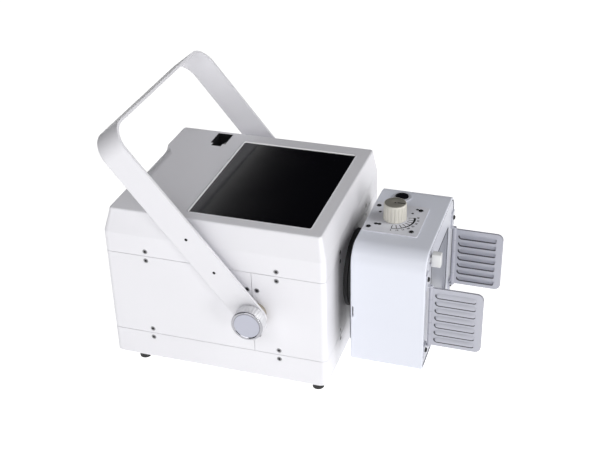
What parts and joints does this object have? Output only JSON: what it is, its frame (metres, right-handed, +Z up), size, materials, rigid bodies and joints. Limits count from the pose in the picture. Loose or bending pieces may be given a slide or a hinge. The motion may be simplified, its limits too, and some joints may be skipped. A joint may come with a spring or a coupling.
{
  "type": "portable x-ray machine",
  "caption": "Compact boxed x-ray source with a top screen, a tilting strap handle with clamp knobs, and a swivelling collimator with a field knob and folding guard wings.",
  "frame": {"origin": "on the floor, under the middle of the case's footprint, in the plane of the feet's lower faces", "axes": "+X is the way the beam leaves, +Y is the long side away from the camera, +Z is up"},
  "size_m": [0.4104, 0.2758, 0.2964],
  "materials": {
    "case_white": "satin white enamel",
    "rubber_black": "matte black rubber",
    "screw_steel": "plated steel",
    "inner_steel": "bare sheet",
    "screen_black": "gloss black glass",
    "display_dark": "dark plastic",
    "plastic_black": "black moulded plastic",
    "contact_brass": "plated contacts",
    "tank_grey": "cast and filled",
    "lead_grey": "dull heavy metal",
    "board_green": "circuit board",
    "bush_metal": "turned steel",
    "washer_grey": "friction washer",
    "handle_silver": "satin painted strip",
    "knob_silver": "turned and ribbed",
    "disc_grey": "satin bluish grey disc",
    "flange_black": "black anodised",
    "exit_plate_grey": "satin grey",
    "window_grey": "translucent grey sheet",
    "wing_metal": "satin sheet",
    "knob_cream": "cream moulded plastic",
    "cap_olive": "olive grey plastic",
    "dial_pale": "pale plate",
    "mirror_glass": "front silvered",
    "lamp_glass": "clear lamp"
  },
  "bodies": {
    "root": {"top_shell": "case_white", "rear_belt_shell": "case_white", "front_belt_shell": "case_white", "bottom_tray": "case_white", "rubber_feet": "rubber_black", "foot_screws": "screw_steel", "case_screws": "screw_steel", "seam_brackets": "inner_steel", "screen_glass": "screen_black", "display_module": "display_dark", "port_socket": "plastic_black", "port_contacts": "contact_brass", "chassis_plate": "inner_steel", "monoblock_tank": "tank_grey", "tank_lid": "tank_grey", "beam_tube": "lead_grey", "power_supply": "tank_grey", "board_standoffs": "inner_steel", "control_board": "board_green", "board_components": "tank_grey", "inlet_module": "plastic_black", "inlet_pins": "contact_brass", "pivot_brackets": "inner_steel", "pivot_spacers": "bush_metal", "friction_washers": "washer_grey", "swivel_flange": "flange_black", "retaining_ring": "bush_metal"},
    "handle": {"handle_bail": "handle_silver"},
    "front_clamp": {"clamp_knob_front": "knob_silver", "knob_disc_front": "disc_grey"},
    "back_clamp": {"clamp_knob_back": "knob_silver", "knob_disc_back": "disc_grey"},
    "rocker": {"power_rocker": "plastic_black"},
    "fuse": {"fuse_drawer": "plastic_black"},
    "collimator": {"swivel_ring": "flange_black", "mount_plate": "plastic_black", "collimator_housing": "case_white", "exit_plate": "exit_plate_grey", "exit_window": "window_grey", "hinge_brackets": "exit_plate_grey", "bracket_screws": "screw_steel", "hinge_pins": "screw_steel", "dial_plate": "dial_pale", "dial_screws": "screw_steel", "shaft_bush": "bush_metal", "blade_guides": "inner_steel", "gear_plate": "inner_steel", "mirror": "mirror_glass", "mirror_bracket": "inner_steel", "lamp": "lamp_glass", "lamp_switch": "plastic_black"},
    "knob": {"field_knob": "knob_cream", "knob_cap": "cap_olive", "pinion_shaft": "bush_metal"},
    "front_shutter": {"shutter_front": "lead_grey"},
    "back_shutter": {"shutter_back": "lead_grey"},
    "lamp_push": {"lamp_button": "plastic_black"},
    "release_push": {"release_button": "knob_cream"},
    "front_wing": {"wing_front": "wing_metal"},
    "back_wing": {"wing_back": "wing_metal"}
  },
  "joints": [
    {"name": "handle_tilt", "type": "hinge", "parent": "root", "child": "handle", "pos_m": [0.047, 0, 0.0945], "axis": [0, 1, 0], "range_deg": [-61, 139]},
    {"name": "front_clamp_turn", "type": "hinge", "parent": "root", "child": "front_clamp", "pos_m": [0.047, -0.1295, 0.0945], "axis": [0, -1, 0], "range_deg": [0, 360]},
    {"name": "back_clamp_turn", "type": "hinge", "parent": "root", "child": "back_clamp", "pos_m": [0.047, 0.1295, 0.0945], "axis": [0, 1, 0], "range_deg": [0, 360]},
    {"name": "rocker_tip", "type": "hinge", "parent": "root", "child": "rocker", "pos_m": [-0.124, 0.052, 0.11], "axis": [0, 1, 0], "range_deg": [-12, 0]},
    {"name": "fuse_drawer_slide", "type": "slide", "parent": "root", "child": "fuse", "axis": [-1, 0, 0], "range_m": [0, 0.012]},
    {"name": "collimator_swivel", "type": "hinge", "parent": "root", "child": "collimator", "pos_m": [0.134, 0, 0.099], "axis": [1, 0, 0], "range_deg": [-20, 20]},
    {"name": "field_knob_turn", "type": "hinge", "parent": "collimator", "child": "knob", "pos_m": [0.1725, -0.0048, 0.18], "axis": [0, 0, 1], "range_deg": [-99, 5]},
    {"name": "back_shutter_slide", "type": "slide", "parent": "collimator", "child": "back_shutter", "axis": [0, 1, 0], "range_m": [-0.0207, 0.001]},
    {"name": "front_shutter_slide", "type": "slide", "parent": "collimator", "child": "front_shutter", "axis": [0, 1, 0], "range_m": [-0.0011, 0.0208]},
    {"name": "lamp_button_press", "type": "slide", "parent": "collimator", "child": "lamp_push", "axis": [0, 0, -1], "range_m": [0, 0.0015], "stiffness_N_per_m": 400, "springref_m": -0.001},
    {"name": "release_button_press", "type": "slide", "parent": "collimator", "child": "release_push", "axis": [-1, 0, 0], "range_m": [0, 0.0018], "stiffness_N_per_m": 400, "springref_m": -0.001},
    {"name": "front_wing_fold", "type": "hinge", "parent": "collimator", "child": "front_wing", "pos_m": [0.2265, -0.063, 0.0925], "axis": [0, 0, 1], "range_deg": [0, 90]},
    {"name": "back_wing_fold", "type": "hinge", "parent": "collimator", "child": "back_wing", "pos_m": [0.2265, 0.063, 0.0925], "axis": [0, 0, 1], "range_deg": [-90, 0]}
  ],
  "couplings": [
    {"joint": "field_knob_turn", "follows": "back_shutter_slide", "rad_per_m": 83.333},
    {"joint": "front_shutter_slide", "follows": "back_shutter_slide", "ratio": -1}
  ]
}
